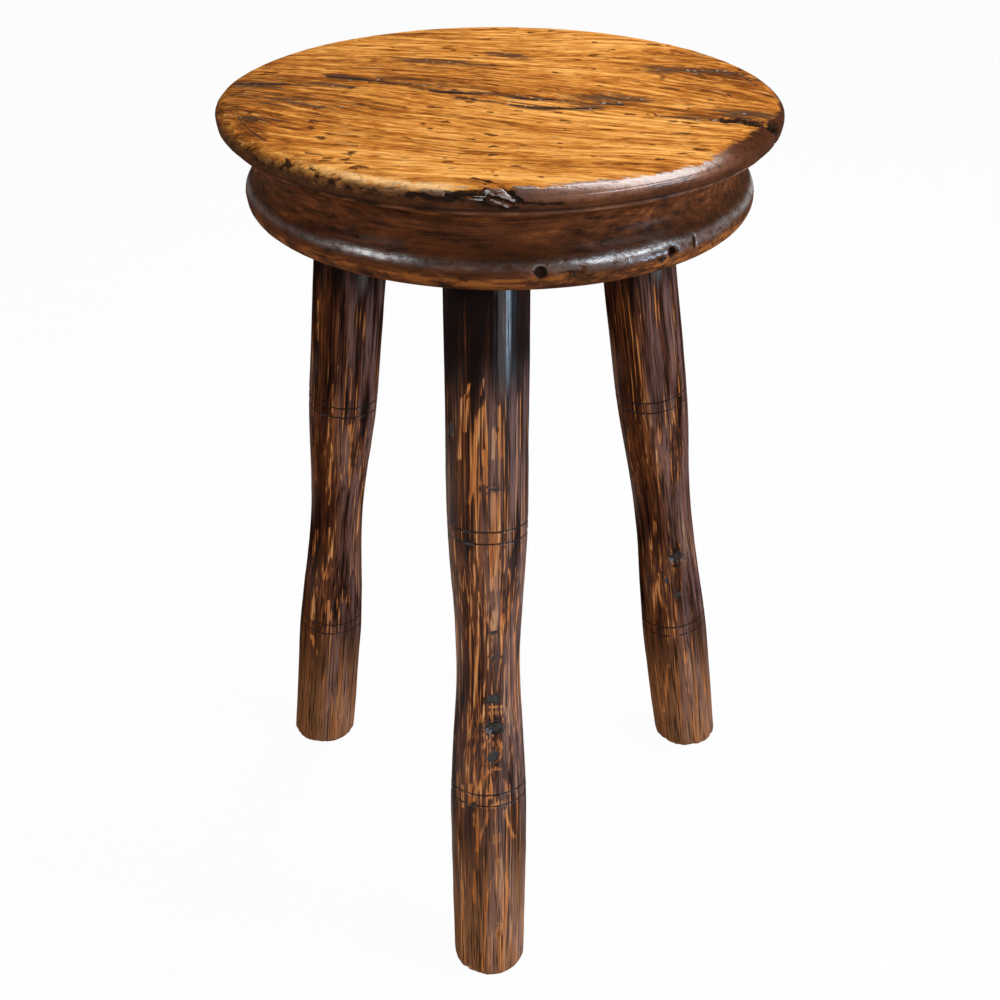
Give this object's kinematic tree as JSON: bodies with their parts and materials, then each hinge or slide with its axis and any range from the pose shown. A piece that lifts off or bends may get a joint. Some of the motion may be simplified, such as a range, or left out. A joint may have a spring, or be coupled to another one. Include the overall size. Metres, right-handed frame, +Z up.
{
  "type": "milking stool",
  "caption": "Round stool with a moulded, turned wooden seat on splayed and waisted turned legs, for sitting on at milking or by the hearth.",
  "frame": {"origin": "on the floor, at the centre of the stool's bounding box, a little in front of the seat's own axis", "axes": "+Z up along the seat's axis, -Y towards the front leg, +X to the right along the seat's grain"},
  "size_m": [0.288, 0.306, 0.459],
  "materials": {
    "seat_wood": "waxed honey-brown hardwood, dark at the moulded edge, worn and scratched",
    "leg_wood": "dark stained and waxed open-grained hardwood with amber streaks",
    "wedge_wood": "bare split hardwood"
  },
  "bodies": {
    "root": {"seat": "seat_wood", "leg_front": "leg_wood", "leg_rear_left": "leg_wood", "leg_rear_right": "leg_wood", "wedge_front": "wedge_wood", "wedge_rear_left": "wedge_wood", "wedge_rear_right": "wedge_wood"}
  },
  "joints": []
}
